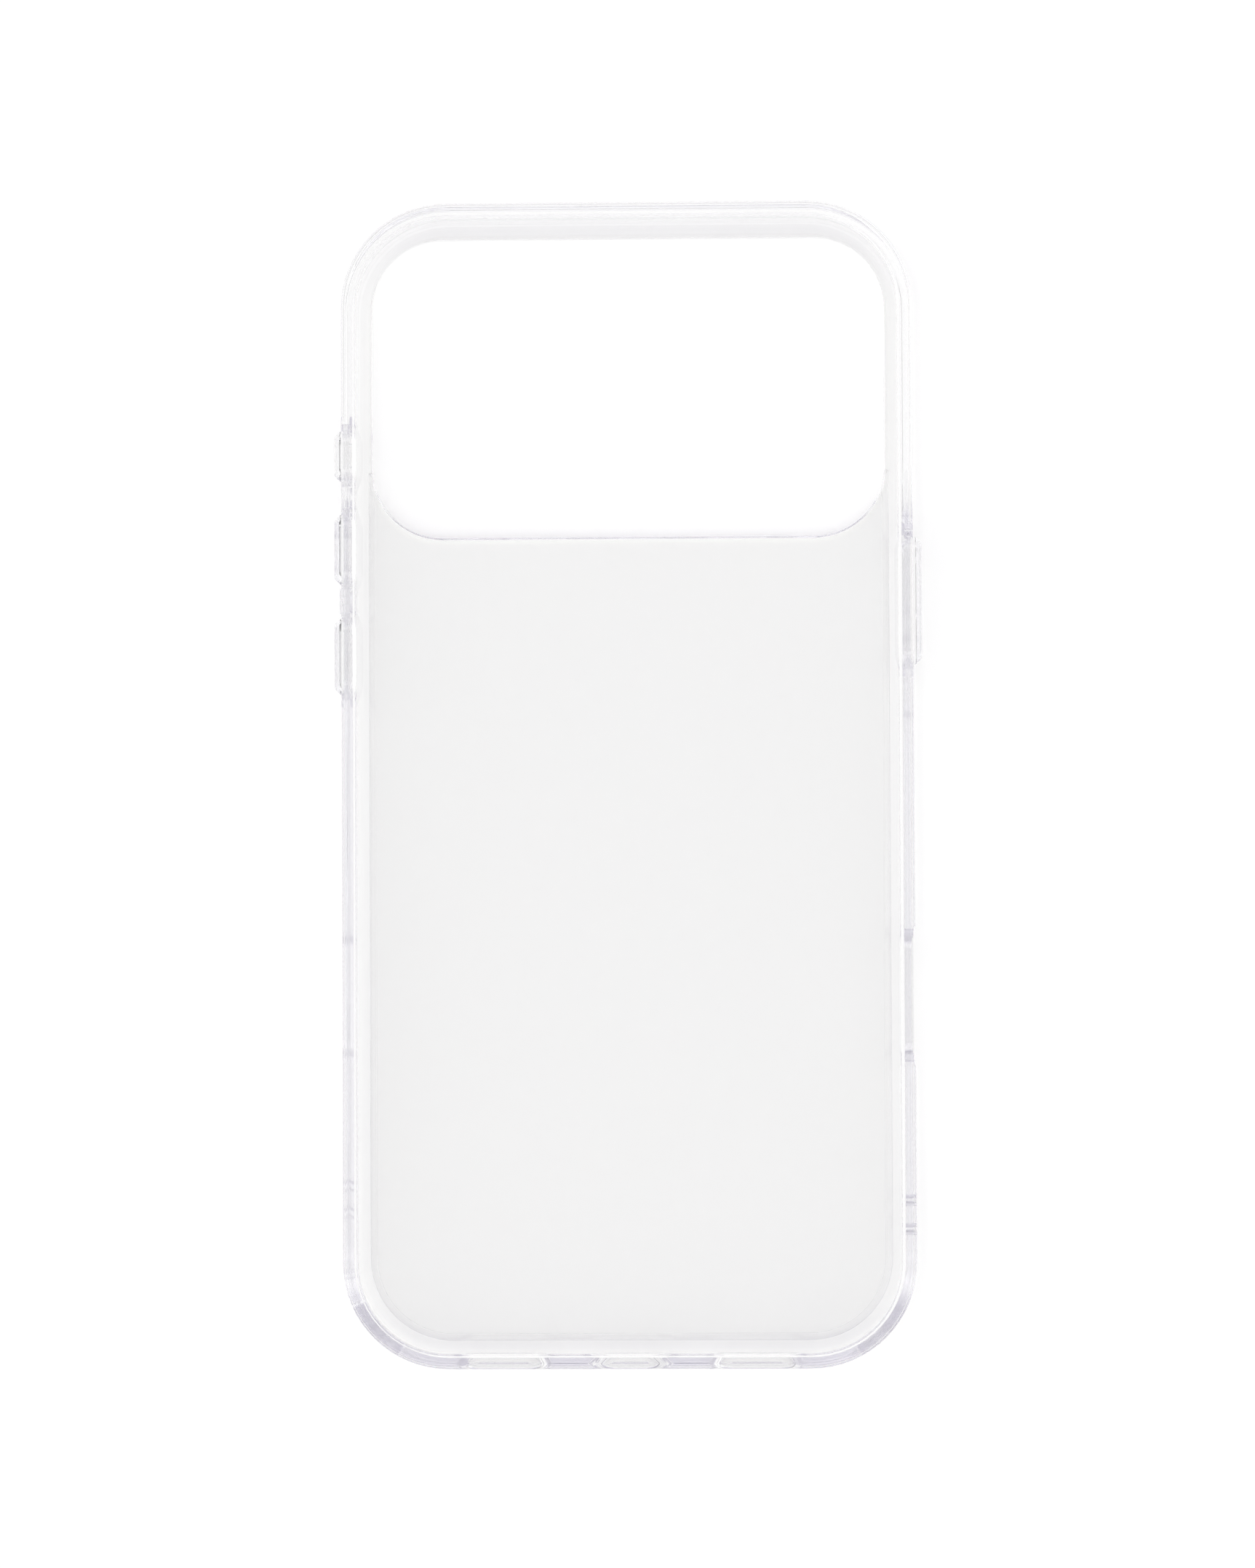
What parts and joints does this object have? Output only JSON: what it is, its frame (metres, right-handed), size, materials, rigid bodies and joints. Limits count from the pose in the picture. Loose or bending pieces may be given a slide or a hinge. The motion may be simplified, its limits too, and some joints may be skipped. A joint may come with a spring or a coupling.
{
  "type": "phone case",
  "caption": "Clear phone case: a hard back plate set in a soft bumper frame, with covered push buttons and cut-outs for cameras, ports and a wrist strap.",
  "frame": {"origin": "middle of the case's outline, on the plane that it lies on with its open face up", "axes": "+X across the case towards the side button, +Y along it towards the camera end, +Z out of the open face that the phone goes in through"},
  "size_m": [0.0776, 0.1534, 0.0111],
  "materials": {
    "clear_hard_plastic": "hard, clear, polished plastic sheet",
    "clear_soft_plastic": "flexible, clear, glossy moulded plastic with a faint cool tint",
    "clear_button_plastic": "clear, glossy moulded plastic",
    "clear_web_plastic": "thin flexible clear plastic"
  },
  "bodies": {
    "case": {"back_plate": "clear_hard_plastic", "bumper_frame": "clear_soft_plastic", "action_button_web": "clear_web_plastic", "volume_up_button_web": "clear_web_plastic", "volume_down_button_web": "clear_web_plastic", "side_button_web": "clear_web_plastic"},
    "action_button": {"action_button": "clear_button_plastic"},
    "volume_up_button": {"volume_up_button": "clear_button_plastic"},
    "volume_down_button": {"volume_down_button": "clear_button_plastic"},
    "side_button": {"side_button": "clear_button_plastic"}
  },
  "joints": [
    {"name": "action_press", "type": "slide", "parent": "case", "child": "action_button", "axis": [1, 0, 0], "range_m": [0, 0.0003], "stiffness_N_per_m": 4000, "deforming": ["action_button_web"]},
    {"name": "volume_up_press", "type": "slide", "parent": "case", "child": "volume_up_button", "axis": [1, 0, 0], "range_m": [0, 0.0003], "stiffness_N_per_m": 4000, "deforming": ["volume_up_button_web"]},
    {"name": "volume_down_press", "type": "slide", "parent": "case", "child": "volume_down_button", "axis": [1, 0, 0], "range_m": [0, 0.0003], "stiffness_N_per_m": 4000, "deforming": ["volume_down_button_web"]},
    {"name": "side_press", "type": "slide", "parent": "case", "child": "side_button", "axis": [-1, 0, 0], "range_m": [0, 0.0003], "stiffness_N_per_m": 4000, "deforming": ["side_button_web"]}
  ]
}
